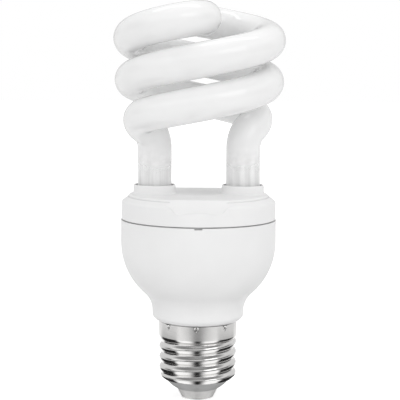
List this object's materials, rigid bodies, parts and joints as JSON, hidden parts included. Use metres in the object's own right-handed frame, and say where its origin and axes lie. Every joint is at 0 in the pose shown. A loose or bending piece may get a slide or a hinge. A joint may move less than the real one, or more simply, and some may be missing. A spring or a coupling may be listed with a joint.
{
  "type": "compact fluorescent spiral lamp",
  "caption": "Compact fluorescent lamp: a glass tube in a double spiral on a white plastic ballast housing with a nickel screw cap.",
  "frame": {"origin": "centre of the bottom contact, on the lamp's axis", "axes": "+Z along the lamp's axis from the cap to the top of the spiral; -Y is the side that faces the camera; the tube's legs stand side by side on X"},
  "size_m": [0.0582, 0.0576, 0.1358],
  "materials": {
    "tube_glass": "glossy glass with a white coat inside, thinner on the legs",
    "white_plastic": "satin moulded plastic",
    "nickel": "bright nickel plate on brass",
    "cap_glass": "dark grey insulator, dull gloss",
    "contact_metal": "nickel plate, fine turned finish",
    "solder": "tin solder",
    "cement": "matt putty",
    "board": "brown laminate",
    "pin_metal": "tinned brass pins",
    "lead_wire": "tinned wire",
    "can_sleeve": "shrunk sleeve",
    "ferrite": "sintered ferrite",
    "bobbin_plastic": "moulded bobbin",
    "copper_wire": "enamelled copper wire",
    "hookup_wire": "insulated wire",
    "black_resin": "moulded epoxy",
    "film_box": "dipped film capacitor",
    "resistor_coat": "lacquered resistor"
  },
  "bodies": {
    "root": {"discharge_tube": "tube_glass", "tube_holder": "white_plastic", "ballast_housing": "white_plastic", "screw_shell": "nickel", "cap_insulator": "cap_glass", "centre_contact": "contact_metal", "contact_solder": "solder", "leg_cement": "cement", "circuit_board": "board", "wrap_pins": "pin_metal", "filament_leads": "lead_wire", "bulk_capacitor": "can_sleeve", "choke_core_upper": "ferrite", "choke_core_lower": "ferrite", "choke_bobbin": "bobbin_plastic", "choke_winding": "copper_wire", "ring_core": "ferrite", "ring_windings": "hookup_wire", "power_transistors": "black_resin", "rectifier_diodes": "black_resin", "resonant_capacitor": "film_box", "blocking_capacitor": "film_box", "resistors": "resistor_coat", "trigger_diode": "black_resin", "fusible_resistor": "resistor_coat", "input_choke": "copper_wire", "shell_wire": "hookup_wire", "contact_wire": "hookup_wire"}
  },
  "joints": []
}
